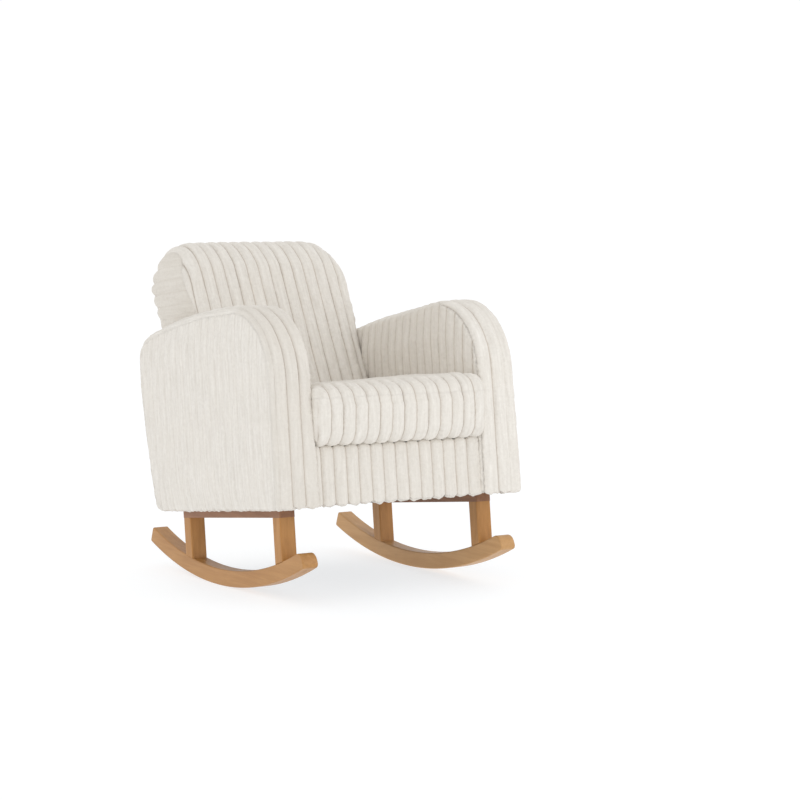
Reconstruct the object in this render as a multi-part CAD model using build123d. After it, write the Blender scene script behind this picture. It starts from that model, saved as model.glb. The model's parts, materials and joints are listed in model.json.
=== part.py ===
from build123d import *
import math
import os

# A small upholstered rocking chair. It stands on two curved runners and faces -Y.
# Left and right are as seen from the front, so left is -X.
#
# Everything is drawn level: the underside of the seat is horizontal and the posts are upright.
# At the end the whole chair rolls back on its runners, which is how it stands when nobody sits
# in it, and is centred on its footprint.

# ---------------------------------------------------------------- driving dimensions, mm
REST_LEAN = 6.5            # degrees that the chair leans back at rest

RUNNER_RADIUS = 965.0      # underside of the runner
RUNNER_DEPTH = 38.0        # radially
RUNNER_WIDTH = 38.6
RUNNER_CENTRE_Y = -92.5    # centre of the runner's arc
RUNNER_FRONT = -18.7       # degrees from straight down, seen from the arc's centre
RUNNER_REAR = 26.8
RUNNER_NOSE_ROUND = 22.0   # upper corner of the front end
RUNNER_CHIN_ROUND = 9.0    # lower corner of the front end
RUNNER_TAIL_ROUND = 6.0    # corners of the rear end
RUNNER_OUTER = 280.0       # outer face, from the middle of the chair

POST_WIDTH = RUNNER_WIDTH
POST_DEPTH = 34.0
BASE_RAIL_OVERHANG = 1.5   # beyond the posts at each end
FRONT_POST_Y = -291.0
REAR_POST_Y = 141.0
POST_TOP = 155.0
BODY_BOTTOM = 178.0
DUST_COVER_THICK = 1.4

ARM_INNER = 215.0          # face towards the seat
ARM_OUTER = 322.0
ARM_FRONT = -381.0
ARM_TOP = 628.0
ARM_NOSE_RADIUS = 168.0    # the large round at the front of the arm
COVER_THICK = 6.0          # plush with its pile
CLEAR = 0.2                # between pieces that lie against each other
ARM_BOARD_INSET = 28.0     # from the outside of the cover to the arm boards
ARM_PAD_SIDE = 15.0        # padding on the flat of the arm
ARM_BOARD_THICK = 12.0
ARM_EDGE_ROUND = 14.0

DECK_Z = 306.0             # top of the deck cloth, on which the cushion lies
RAIL_THICK = 24.0
SEAT_HALF = 190.0          # half the clear width between the side rails
FRONT_RAIL_Y = -349.0      # front face
REAR_RAIL_Y = 30.0         # front face
SPRING_COUNT = 5
SPRING_SPACING = 75.0
SPRING_WIRE = 3.8
SPRING_HALF_WIDTH = 22.0
SPRING_PITCH = 24.0

BACK_HALF = 214.6
BACK_RECLINE = 18.3        # degrees, outside back
BACK_FOOT_Y = 207.0        # outside back at BACK_FOOT_Z
BACK_FOOT_Z = 181.0
BACK_LENGTH = 533.0        # along the outside back to where the round top starts
BACK_TOP_Y = 283.0         # centre of the round top
BACK_TOP_Z = 718.0
BACK_TOP_RADIUS = 100.0
BACK_FRONT_FOOT_Y = 14.5   # front face of the back at deck height
REAR_PANEL_THICK = 11.5
BACK_FRAME_NEAR = 16.0     # timber starts this far in from the outside back
BACK_FRAME_DEPTH = 95.0

CUSHION_HALF = 214.3
CUSHION_FRONT = -410.0
CUSHION_TOP = 452.0
CUSHION_CROWN = 462.0

BOLT_RADIUS = 4.0
BOLT_HOLE = 4.5
NUT_BORE = 4.05
DOWEL_RADIUS = 5.0
DOWEL_HOLE = 5.05
BASE_BOLT_Y = (-240.0, -75.0, 90.0)
ARM_BOLT_Y = (-280.0, -100.0, 80.0)
ARM_BOLT_Z = 240.0

FAR = 1000.0               # larger than any half of the chair

# ---------------------------------------------------------------- helpers
nodes = {}


def block(x0, x1, y0, y1, z0, z1):
    """A box between two corners."""
    centre = Pos((x0 + x1) / 2, (y0 + y1) / 2, (z0 + z1) / 2)
    return centre * Box(x1 - x0, y1 - y0, z1 - z0)


def slab(profile, x0, x1):
    """A side profile, drawn in Y and Z, made solid from x0 to x1."""
    return extrude(Plane.YZ.offset(x0) * profile, amount=x1 - x0)


def outline(*points):
    """A side profile with straight edges."""
    return make_face(Polyline(*points, close=True))


def upright_rod(x, y, z0, z1, radius):
    return Pos(x, y, (z0 + z1) / 2) * Cylinder(radius, z1 - z0)


def cross_rod(x0, x1, y, z, radius):
    return Pos((x0 + x1) / 2, y, z) * Rot(Y=90) * Cylinder(radius, x1 - x0)


def long_rod(x, y0, y1, z, radius):
    return Pos(x, (y0 + y1) / 2, z) * Rot(X=90) * Cylinder(radius, y1 - y0)


def left_of(shape):
    return mirror(shape, about=Plane.YZ)


def both_sides(name, right):
    """Keep a right-hand piece and its mirror image as two nodes."""
    nodes[name + "_right"] = right
    nodes[name + "_left"] = left_of(right)


def group(shapes):
    """Separate solids that share one node."""
    return Compound([solid for shape in shapes for solid in shape.solids()])


def above(height):
    return block(-FAR, FAR, -FAR, FAR, height, FAR)


def cut_all(shape, tools):
    for tool in tools:
        shape = shape - tool
    return shape


# ---------------------------------------------------------------- rocking base
# The arc's centre is as high as puts the runners on Z = 0 once the chair leans back.
LEAN = math.radians(REST_LEAN)
ARC_Y = RUNNER_CENTRE_Y
ARC_Z = (RUNNER_RADIUS + ARC_Y * math.sin(LEAN)) / math.cos(LEAN)
RUNNER_TOP_RADIUS = RUNNER_RADIUS - RUNNER_DEPTH
RUNNER_INNER = RUNNER_OUTER - RUNNER_WIDTH
POST_INNER = RUNNER_OUTER - POST_WIDTH
POST_X = RUNNER_OUTER - POST_WIDTH / 2
BASE_RAIL_TOP = BODY_BOTTOM - DUST_COVER_THICK - 0.1
POST_YS = (FRONT_POST_Y, REAR_POST_Y)
DOWEL_OFFSET = 8.0
BASE_BOLT_SEAT = POST_TOP + 6.0    # washers of the base bolts bear here, inside the rail


def on_arc(radius, degrees):
    angle = math.radians(degrees)
    return (ARC_Y + radius * math.sin(angle), ARC_Z - radius * math.cos(angle))


def runner_top(y):
    return ARC_Z - math.sqrt(RUNNER_TOP_RADIUS**2 - (y - ARC_Y) ** 2)


def dowel_places():
    """Each dowel of the right side as its Y, low Z and high Z."""
    places = []
    for post_y in POST_YS:
        for y in (post_y - DOWEL_OFFSET, post_y + DOWEL_OFFSET):
            foot = runner_top(y)
            places.append((y, foot - 20.0, foot + 24.0))
            places.append((y, POST_TOP - 22.0, POST_TOP + 12.0))
    return places


def runner_profile():
    middle = (RUNNER_FRONT + RUNNER_REAR) / 2
    lower = ThreePointArc(
        on_arc(RUNNER_RADIUS, RUNNER_FRONT),
        on_arc(RUNNER_RADIUS, middle),
        on_arc(RUNNER_RADIUS, RUNNER_REAR),
    )
    upper = ThreePointArc(
        on_arc(RUNNER_TOP_RADIUS, RUNNER_REAR),
        on_arc(RUNNER_TOP_RADIUS, middle),
        on_arc(RUNNER_TOP_RADIUS, RUNNER_FRONT),
    )
    ends = [Line(lower @ 1, upper @ 0), Line(upper @ 1, lower @ 0)]
    face = make_face([lower, ends[0], upper, ends[1]])
    rounds = (
        (RUNNER_TOP_RADIUS, RUNNER_FRONT, RUNNER_NOSE_ROUND),
        (RUNNER_RADIUS, RUNNER_FRONT, RUNNER_CHIN_ROUND),
        (RUNNER_TOP_RADIUS, RUNNER_REAR, RUNNER_TAIL_ROUND),
        (RUNNER_RADIUS, RUNNER_REAR, RUNNER_TAIL_ROUND),
    )
    for radius, end, round_radius in rounds:
        corner = face.vertices().sort_by_distance((*on_arc(radius, end), 0))[0]
        face = fillet(corner, round_radius)
    return face


dowel_holes = [
    upright_rod(POST_X, y, low - 0.5, high + 0.5, DOWEL_HOLE) for y, low, high in dowel_places()
]

runner = slab(runner_profile(), RUNNER_INNER, RUNNER_OUTER)
runner = fillet(runner.faces().filter_by(Axis.X).edges(), 3.0)
both_sides("runner", cut_all(runner, dowel_holes))

runner_hollow = Pos(0, ARC_Y, ARC_Z) * Rot(Y=90) * Cylinder(RUNNER_TOP_RADIUS, 2 * FAR)
for name, post_y in (("front_post", FRONT_POST_Y), ("rear_post", REAR_POST_Y)):
    half = POST_DEPTH / 2
    post = block(POST_INNER, RUNNER_OUTER, post_y - half, post_y + half, 0, POST_TOP)
    post = fillet(post.edges().filter_by(Axis.Z), 3.0)
    both_sides(name, cut_all(post & runner_hollow, dowel_holes))

base_bolt_holes = [
    upright_rod(POST_X, y, POST_TOP - 10, BODY_BOTTOM + 40, BOLT_HOLE) for y in BASE_BOLT_Y
]
base_bolt_pockets = [
    upright_rod(POST_X, y, POST_TOP - 10, BASE_BOLT_SEAT, 9.3) for y in BASE_BOLT_Y
]
base_rail = block(
    POST_INNER,
    RUNNER_OUTER,
    FRONT_POST_Y - POST_DEPTH / 2 - BASE_RAIL_OVERHANG,
    REAR_POST_Y + POST_DEPTH / 2 + BASE_RAIL_OVERHANG,
    POST_TOP,
    BASE_RAIL_TOP,
)
base_rail = fillet(base_rail.edges().filter_by(Axis.Z), 3.0)
both_sides("base_rail", cut_all(base_rail, dowel_holes + base_bolt_holes + base_bolt_pockets))

dowels = [upright_rod(POST_X, y, low, high, DOWEL_RADIUS) for y, low, high in dowel_places()]
nodes["post_dowels"] = group(dowels + [left_of(dowel) for dowel in dowels])

# ---------------------------------------------------------------- arms
BOARD_INNER_X = ARM_INNER + COVER_THICK + ARM_PAD_SIDE
BOARD_OUTER_X = ARM_OUTER - COVER_THICK - ARM_PAD_SIDE
GAP_INNER_X = BOARD_INNER_X + ARM_BOARD_THICK
GAP_OUTER_X = BOARD_OUTER_X - ARM_BOARD_THICK
SILL_TOP = BODY_BOTTOM + 28.0
NUT_FLANGE = 1.5
NUT_BARREL = 10.0
WASHER_THICK = 1.6
HEAD_THICK = 4.0


def arm_outline():
    """Side view of an arm, carried on below the body so that insets stay open there."""
    nose_y = ARM_FRONT + ARM_NOSE_RADIUS
    nose_z = ARM_TOP - ARM_NOSE_RADIUS
    diagonal = ARM_NOSE_RADIUS / math.sqrt(2)
    front = Line((ARM_FRONT, 60), (ARM_FRONT, nose_z))
    nose = ThreePointArc(front @ 1, (nose_y - diagonal, nose_z + diagonal), (nose_y, ARM_TOP))
    top = ThreePointArc(nose @ 1, (8, 622), (215, 593))
    heel = ThreePointArc(top @ 1, (252.5, 572), (272, 534))
    rear = ThreePointArc(heel @ 1, (259, 368), (218, 180))
    tail = Line(rear @ 1, (182, 60))
    return make_face([front, nose, top, heel, rear, tail, Line(tail @ 1, front @ 0)])


def arm_slab(inset, x0, x1):
    profile = arm_outline() if inset == 0 else offset(arm_outline(), amount=-inset)
    return slab(profile, x0, x1)


arm_bolt_holes = [
    cross_rod(SEAT_HALF - 5, BOARD_INNER_X + 40, y, ARM_BOLT_Z, BOLT_HOLE) for y in ARM_BOLT_Y
]

arm_body = arm_slab(0, ARM_INNER, ARM_OUTER)
arm_rims = arm_body.faces().filter_by(Axis.X).edges().filter_by(lambda e: e.center().Z > 100)
arm_body = fillet(arm_rims, ARM_EDGE_ROUND)
arm_lining = arm_slab(COVER_THICK, ARM_INNER + COVER_THICK, ARM_OUTER - COVER_THICK)
both_sides("arm_cover", cut_all((arm_body - arm_lining) & above(BODY_BOTTOM), arm_bolt_holes))

arm_filling = arm_slab(
    COVER_THICK + CLEAR, ARM_INNER + COVER_THICK + CLEAR, ARM_OUTER - COVER_THICK - CLEAR
)
arm_cavity = arm_slab(ARM_BOARD_INSET, BOARD_INNER_X, BOARD_OUTER_X)
both_sides(
    "arm_padding", cut_all((arm_filling - arm_cavity) & above(BODY_BOTTOM), arm_bolt_holes)
)

nut_barrels = [
    cross_rod(GAP_INNER_X - NUT_BARREL, GAP_INNER_X, y, ARM_BOLT_Z, 5.6) for y in ARM_BOLT_Y
]
board_inset = ARM_BOARD_INSET + CLEAR
inner_board = arm_slab(board_inset, BOARD_INNER_X + CLEAR, GAP_INNER_X)
inner_board = cut_all(inner_board & above(BODY_BOTTOM), arm_bolt_holes + nut_barrels)
both_sides("arm_inner_board", inner_board)
outer_board = arm_slab(board_inset, GAP_OUTER_X, BOARD_OUTER_X - CLEAR)
both_sides("arm_outer_board", outer_board & above(BODY_BOTTOM))

sill = block(GAP_INNER_X, GAP_OUTER_X, -345, 180, BODY_BOTTOM, SILL_TOP)
sill_nut_holes = [
    upright_rod(POST_X, y, SILL_TOP - NUT_BARREL, SILL_TOP + 1, 5.6) for y in BASE_BOLT_Y
]
both_sides("arm_sill", cut_all(sill, base_bolt_holes + sill_nut_holes))
both_sides("arm_front_block", block(GAP_INNER_X, GAP_OUTER_X, -345, -305, SILL_TOP, 430))
both_sides("arm_rear_block", block(GAP_INNER_X, GAP_OUTER_X, 145, 185, SILL_TOP, 500))
both_sides("arm_top_block", block(GAP_INNER_X, GAP_OUTER_X, -190, 165, 545, 570))

# ---------------------------------------------------------------- seat frame
RAIL_BOTTOM = 182.0
SIDE_RAIL_TOP = 282.0
CROSS_RAIL_TOP = 298.0
SIDE_RAIL_OUTER = SEAT_HALF + RAIL_THICK
REAR_RAIL_BACK = REAR_RAIL_Y + RAIL_THICK
FRONT_RAIL_BACK = FRONT_RAIL_Y + RAIL_THICK
CORNER_LEG = 50.0
CORNER_LOW = 192.0
CORNER_HIGH = 222.0
BACK_SCREW_PLACES = ((150.0, 205.0), (160.0, 258.0))

BACK_SCREW_TIP = SEAT_HALF - 22.0

screw_holes = [
    cross_rod(BACK_SCREW_TIP - 3, SIDE_RAIL_OUTER + 1, y, z, 2.6) for y, z in BACK_SCREW_PLACES
]
head_pockets = [
    cross_rod(SIDE_RAIL_OUTER - 3.4, SIDE_RAIL_OUTER + 1, y, z, 4.6) for y, z in BACK_SCREW_PLACES
]
side_rail = block(SEAT_HALF, SIDE_RAIL_OUTER, FRONT_RAIL_Y, 188, RAIL_BOTTOM, SIDE_RAIL_TOP)


def corner_block(y, towards):
    """Triangular block in a corner of the seat frame, on the right."""
    plan = make_face(
        Polyline(
            (SEAT_HALF, y),
            (SEAT_HALF - CORNER_LEG, y),
            (SEAT_HALF, y + towards * CORNER_LEG),
            close=True,
        )
    )
    return extrude(Plane.XY.offset(CORNER_LOW) * plan, amount=CORNER_HIGH - CORNER_LOW)


def wood_screw_cross(x0, x1, y, z):
    """Countersunk screw along X, with its head at x0."""
    step = 3.0 if x1 > x0 else -3.0
    head = Pos((2 * x0 + step) / 2, y, z) * Rot(Y=90) * Cylinder(4.5, 3.0)
    low, high = sorted((x0 + step, x1))
    return head + cross_rod(low, high, y, z, 2.5)


corner_z = (CORNER_LOW + CORNER_HIGH) / 2
corner_ys = ((FRONT_RAIL_BACK, 1), (REAR_RAIL_Y, -1))
corner_blocks = []
corner_screws = []
corner_holes = []
for corner_y, towards in corner_ys:
    screw_y = corner_y + towards * 14.0
    screw_x = SEAT_HALF - 14.0
    corner_blocks.append(corner_block(corner_y, towards))
    corner_screws.append(wood_screw_cross(SEAT_HALF - 22, SEAT_HALF + 16, screw_y, corner_z - 6))
    corner_holes.append(cross_rod(SEAT_HALF - 60, SEAT_HALF + 16.5, screw_y, corner_z - 6, 2.6))
    corner_holes.append(cross_rod(SEAT_HALF - 60, SEAT_HALF - 18.9, screw_y, corner_z - 6, 4.6))
corner_blocks = [cut_all(piece, corner_holes) for piece in corner_blocks]
nodes["corner_blocks"] = group(corner_blocks + [left_of(piece) for piece in corner_blocks])
nodes["corner_screws"] = group(corner_screws + [left_of(piece) for piece in corner_screws])
side_rail = cut_all(side_rail, arm_bolt_holes + corner_holes + screw_holes + head_pockets)
both_sides("seat_side_rail", side_rail)
back_screws = [
    wood_screw_cross(SIDE_RAIL_OUTER - 0.2, BACK_SCREW_TIP, y, z) for y, z in BACK_SCREW_PLACES
]
nodes["back_frame_screws"] = group(back_screws + [left_of(piece) for piece in back_screws])

nodes["seat_front_rail"] = block(
    -SEAT_HALF, SEAT_HALF, FRONT_RAIL_Y, FRONT_RAIL_BACK, RAIL_BOTTOM, CROSS_RAIL_TOP
)
nodes["seat_rear_rail"] = block(
    -SEAT_HALF, SEAT_HALF, REAR_RAIL_Y, REAR_RAIL_BACK, RAIL_BOTTOM, CROSS_RAIL_TOP
)

# ---------------------------------------------------------------- bolts, washers and nuts
bolts = []
arm_bolts = []
washers = []
nuts = []
for bolt_y in BASE_BOLT_Y:
    head_z = BASE_BOLT_SEAT - WASHER_THICK
    ring = upright_rod(POST_X, bolt_y, head_z, BASE_BOLT_SEAT, 9.0)
    washers.append(ring - upright_rod(POST_X, bolt_y, head_z - 1, BASE_BOLT_SEAT + 1, 4.2))
    head = upright_rod(POST_X, bolt_y, head_z - HEAD_THICK, head_z, 7.5)
    socket = Pos(POST_X, bolt_y, head_z - HEAD_THICK + 1.25) * extrude(
        RegularPolygon(2.9, 6), amount=1.25, both=True
    )
    bolts.append(head - socket + upright_rod(POST_X, bolt_y, head_z, head_z + 54, BOLT_RADIUS))
    nut = upright_rod(POST_X, bolt_y, SILL_TOP - NUT_BARREL, SILL_TOP, 5.5)
    nut += upright_rod(POST_X, bolt_y, SILL_TOP, SILL_TOP + NUT_FLANGE, 10.0)
    nuts.append(nut - upright_rod(POST_X, bolt_y, SILL_TOP - 20, SILL_TOP + 5, NUT_BORE))
for bolt_y in ARM_BOLT_Y:
    head_x = SEAT_HALF - WASHER_THICK
    ring = cross_rod(head_x, SEAT_HALF, bolt_y, ARM_BOLT_Z, 9.0)
    washers.append(ring - cross_rod(head_x - 1, SEAT_HALF + 1, bolt_y, ARM_BOLT_Z, 4.2))
    head = cross_rod(head_x - HEAD_THICK, head_x, bolt_y, ARM_BOLT_Z, 7.5)
    arm_bolts.append(head + cross_rod(head_x, head_x + 65, bolt_y, ARM_BOLT_Z, BOLT_RADIUS))
    nut = cross_rod(GAP_INNER_X - NUT_BARREL, GAP_INNER_X, bolt_y, ARM_BOLT_Z, 5.5)
    nut += cross_rod(GAP_INNER_X, GAP_INNER_X + NUT_FLANGE, bolt_y, ARM_BOLT_Z, 10.0)
    nuts.append(nut - cross_rod(GAP_INNER_X - 20, GAP_INNER_X + 5, bolt_y, ARM_BOLT_Z, NUT_BORE))
fasteners = (("base_bolts", bolts), ("arm_bolts", arm_bolts), ("washers", washers))
for name, pieces in fasteners + (("tee_nuts", nuts),):
    nodes[name] = group(pieces + [left_of(piece) for piece in pieces])

# ---------------------------------------------------------------- springs and deck
SPRING_Z = CROSS_RAIL_TOP + 1.2 + SPRING_WIRE / 2
SPRING_FRONT = FRONT_RAIL_Y + 10.0
SPRING_REAR = REAR_RAIL_Y + 14.0
CLIP_THICK = 1.0
CLIP_HALF = 26.0


def spring_path(x):
    """Zigzag wire from the front rail to the rear rail, with a crossbar at each end."""
    turns = int((SPRING_REAR - SPRING_FRONT) // SPRING_PITCH)
    step = (SPRING_REAR - SPRING_FRONT) / turns
    points = [(x - SPRING_HALF_WIDTH, SPRING_FRONT, SPRING_Z)]
    side = 1
    for turn in range(turns):
        y = SPRING_FRONT + turn * step
        points.append((x + side * SPRING_HALF_WIDTH, y, SPRING_Z))
        points.append((x + side * SPRING_HALF_WIDTH, y + step, SPRING_Z))
        side = -side
    points.append((x + side * SPRING_HALF_WIDTH, SPRING_REAR, SPRING_Z))
    return FilletPolyline(*points, radius=9.0)


def spring(x):
    path = spring_path(x)
    section = Plane(origin=path @ 0, z_dir=path % 0) * Circle(SPRING_WIRE / 2)
    return sweep(section, path=path)


def spring_clip(x, y, opens):
    """Folded steel clip round an end bar, open towards the middle of the seat."""
    low = CROSS_RAIL_TOP
    gap_low = low + CLIP_THICK
    gap_high = SPRING_Z + SPRING_WIRE / 2 + 0.1
    high = gap_high + CLIP_THICK
    body = block(x - CLIP_HALF / 2, x + CLIP_HALF / 2, y - 7, y + 7, low, high)
    gap_y = (y - 4, y + 20) if opens > 0 else (y - 20, y + 4)
    return body - block(x - FAR, x + FAR, gap_y[0], gap_y[1], gap_low, gap_high)


spring_xs = [(i - (SPRING_COUNT - 1) / 2) * SPRING_SPACING for i in range(SPRING_COUNT)]
nodes["seat_springs"] = group([spring(x) for x in spring_xs])
front_clips = [spring_clip(x, SPRING_FRONT, 1) for x in spring_xs]
rear_clips = [spring_clip(x, SPRING_REAR, -1) for x in spring_xs]
nodes["spring_clips"] = group(front_clips + rear_clips)
nodes["deck_cloth"] = block(-SIDE_RAIL_OUTER, SIDE_RAIL_OUTER, -365, 13, DECK_Z - 1.2, DECK_Z)

# ---------------------------------------------------------------- front panel and dust cover
PANEL_FRONT = -372.0
PANEL_HALF = 214.4
PANEL_TOP = DECK_Z - 1.4

panel_profile = outline(
    (PANEL_FRONT, BODY_BOTTOM),
    (FRONT_RAIL_Y - CLEAR, BODY_BOTTOM),
    (FRONT_RAIL_Y - CLEAR, PANEL_TOP),
    (PANEL_FRONT, PANEL_TOP),
)
panel = slab(panel_profile, -PANEL_HALF, PANEL_HALF)
panel = fillet(panel.edges().filter_by(Axis.X).group_by(Axis.Z)[-1].sort_by(Axis.Y)[0], 10.0)
panel_core = block(
    -PANEL_HALF + COVER_THICK,
    PANEL_HALF - COVER_THICK,
    PANEL_FRONT + COVER_THICK,
    FRONT_RAIL_Y,
    BODY_BOTTOM - 1,
    PANEL_TOP - COVER_THICK,
)
nodes["front_panel_cover"] = panel - panel_core
nodes["front_panel_padding"] = block(
    -PANEL_HALF + COVER_THICK + CLEAR,
    PANEL_HALF - COVER_THICK - CLEAR,
    PANEL_FRONT + COVER_THICK + CLEAR,
    FRONT_RAIL_Y - CLEAR,
    BODY_BOTTOM + 2,
    PANEL_TOP - COVER_THICK - CLEAR,
)

DUST_HALF = 300.0
DUST_FRONT = -362.0
DUST_REAR = 186.0
dust_low = BODY_BOTTOM - DUST_COVER_THICK - 0.05
dust_cover = block(-DUST_HALF, DUST_HALF, DUST_FRONT, DUST_REAR, dust_low, BODY_BOTTOM - 0.05)
nodes["dust_cover"] = cut_all(
    dust_cover, base_bolt_holes + [left_of(hole) for hole in base_bolt_holes]
)

STAPLE_LENGTH = 12.0
STAPLE_THICK = 0.7
STAPLES_ACROSS = 8
STAPLES_DEEP = 6


def staple(x, y, across):
    """Crown of a staple under the dust cover; its legs are buried in the timber."""
    half_x = STAPLE_LENGTH / 2 if across else STAPLE_THICK
    half_y = STAPLE_THICK if across else STAPLE_LENGTH / 2
    return block(
        x - half_x, x + half_x, y - half_y, y + half_y, dust_low - STAPLE_THICK, dust_low
    )


staples = []
for i in range(STAPLES_ACROSS):
    staple_x = (i - (STAPLES_ACROSS - 1) / 2) * 50.0
    staples += [staple(staple_x, DUST_FRONT + 14, True), staple(staple_x, DUST_REAR - 10, True)]
for i in range(STAPLES_DEEP):
    staple_y = DUST_FRONT + 40 + i * 92.0
    staples += [staple(-DUST_HALF + 10, staple_y, False), staple(DUST_HALF - 10, staple_y, False)]
nodes["dust_cover_staples"] = group(staples)

# ---------------------------------------------------------------- back
recline = math.radians(BACK_RECLINE)
FRAME_HALF = SEAT_HALF - 0.2
UPRIGHT_INNER = FRAME_HALF - 25.0
UPRIGHT_TOP = 555.0
BAND_WIDTH = 50.0
BAND_THICK = 1.5
BAND_STARTS = (212.0, 290.0, 368.0, 446.0)


def on_back(along, inwards):
    """Point this far up along the outside back and this far in from it."""
    return (
        BACK_FOOT_Y + along * math.sin(recline) - inwards * math.cos(recline),
        BACK_FOOT_Z + along * math.cos(recline) + inwards * math.sin(recline),
    )


def back_bar(x0, x1, along0, along1, in0, in1):
    """Straight bar that lies square to the outside back."""
    corners = [on_back(along0, in0), on_back(along1, in0), on_back(along1, in1)]
    return slab(outline(*corners, on_back(along0, in1)), x0, x1)


def back_outline():
    """Side view of the back, carried on below the deck so that insets stay open there."""
    centre = Vector(BACK_TOP_Y, BACK_TOP_Z)
    crown = (BACK_TOP_Y, BACK_TOP_Z + BACK_TOP_RADIUS)
    front_lean = math.atan2(0.372, 1)
    front_tangent = centre + BACK_TOP_RADIUS * Vector(-math.cos(front_lean), math.sin(front_lean))
    drop = (front_tangent.Y - 60.0) * math.tan(front_lean)
    front_foot = (front_tangent.X - drop, 60.0)
    rear_top = on_back(BACK_LENGTH, 0)
    rear_foot = on_back(-120, 0)
    front = Line(front_foot, front_tangent)
    top = ThreePointArc(front @ 1, crown, rear_top)
    rear = Line(top @ 1, rear_foot)
    return make_face([front, top, rear, Line(rear @ 1, front @ 0)])


def back_slab(inset, half):
    profile = back_outline() if inset == 0 else offset(back_outline(), amount=-inset)
    return slab(profile, -half, half) & above(DECK_Z + 0.4)


rear_zone = back_bar(-FAR, FAR, -200, BACK_LENGTH, -60, REAR_PANEL_THICK + CLEAR)
frame_zone = back_bar(
    -FRAME_HALF - 3, FRAME_HALF + 3, -200, UPRIGHT_TOP + 5, -60, BACK_FRAME_NEAR + BACK_FRAME_DEPTH + 4
)
back_body = back_slab(0, BACK_HALF)
back_rims = back_body.faces().filter_by(Axis.X).edges().filter_by(
    lambda e: e.center().Z > DECK_Z + 5
)
back_body = fillet(back_rims, 18.0)
nodes["back_cover"] = back_body - back_slab(COVER_THICK, BACK_HALF - COVER_THICK) - rear_zone
back_filling = back_slab(COVER_THICK + CLEAR, BACK_HALF - COVER_THICK - CLEAR)
nodes["back_padding"] = back_filling - frame_zone - rear_zone

rear_panel = back_bar(-BACK_HALF + 0.6, BACK_HALF - 0.6, -30, BACK_LENGTH, 0, REAR_PANEL_THICK)
nodes["rear_panel"] = rear_panel & above(BODY_BOTTOM)

frame_far = BACK_FRAME_NEAR + BACK_FRAME_DEPTH
upright = back_bar(UPRIGHT_INNER, FRAME_HALF, 8, UPRIGHT_TOP, BACK_FRAME_NEAR, frame_far)
both_sides("back_upright", cut_all(upright, screw_holes))
nodes["back_top_rail"] = back_bar(
    -UPRIGHT_INNER, UPRIGHT_INNER, 505, UPRIGHT_TOP, BACK_FRAME_NEAR, BACK_FRAME_NEAR + 26
)
nodes["back_lower_rail"] = back_bar(
    -UPRIGHT_INNER, UPRIGHT_INNER, 150, 200, BACK_FRAME_NEAR, BACK_FRAME_NEAR + 26
)
nodes["back_webbing"] = group(
    [
        back_bar(
            -FRAME_HALF, FRAME_HALF, start, start + BAND_WIDTH, frame_far + 0.1, frame_far + BAND_THICK
        )
        for start in BAND_STARTS
    ]
)

# ---------------------------------------------------------------- seat cushion
CUSHION_BOTTOM = DECK_Z + 0.6


def back_face(z):
    """Y of the front face of the back at a height."""
    return BACK_FRONT_FOOT_Y + (z - DECK_Z) * 0.372


def cushion_outline():
    nose_top = (CUSHION_FRONT + 42.0, CUSHION_TOP)
    nose = ThreePointArc(
        nose_top, (CUSHION_FRONT + 11.0, CUSHION_TOP - 11.0), (CUSHION_FRONT, CUSHION_TOP - 44.0)
    )
    front = Line(nose @ 1, (CUSHION_FRONT + 12.0, CUSHION_BOTTOM + 16.0))
    chin = ThreePointArc(
        front @ 1,
        (CUSHION_FRONT + 18.0, CUSHION_BOTTOM + 5.0),
        (CUSHION_FRONT + 30.0, CUSHION_BOTTOM),
    )
    rear_bottom = (back_face(CUSHION_BOTTOM) - 2.0, CUSHION_BOTTOM)
    rear_top = (back_face(CUSHION_TOP) - 2.0, CUSHION_TOP)
    bottom = Line(chin @ 1, rear_bottom)
    rear = Line(bottom @ 1, rear_top)
    top = ThreePointArc(rear @ 1, (-160, CUSHION_CROWN), nose @ 0)
    return make_face([nose, front, chin, bottom, rear, top])


cushion = slab(cushion_outline(), -CUSHION_HALF, CUSHION_HALF)
cushion_inside = slab(
    offset(cushion_outline(), amount=-COVER_THICK),
    -CUSHION_HALF + COVER_THICK,
    CUSHION_HALF - COVER_THICK,
)
nodes["seat_cushion_cover"] = cushion - cushion_inside
nodes["seat_cushion_core"] = slab(
    offset(cushion_outline(), amount=-COVER_THICK - CLEAR),
    -CUSHION_HALF + COVER_THICK + CLEAR,
    CUSHION_HALF - COVER_THICK - CLEAR,
)

# ---------------------------------------------------------------- rest pose and files
leaned = {name: Rot(X=-REST_LEAN) * shape for name, shape in nodes.items()}
footprint = group(leaned.values())
box = footprint.bounding_box()
centre_y = (box.min.Y + box.max.Y) / 2

os.makedirs("parts", exist_ok=True)
for name, shape in leaned.items():
    export_step(Pos(0, -centre_y, 0) * shape, f"parts/{name}.step")
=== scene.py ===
import json
import math

import bmesh
import bpy
import numpy as np
from mathutils import Matrix, Vector, noise


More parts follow.
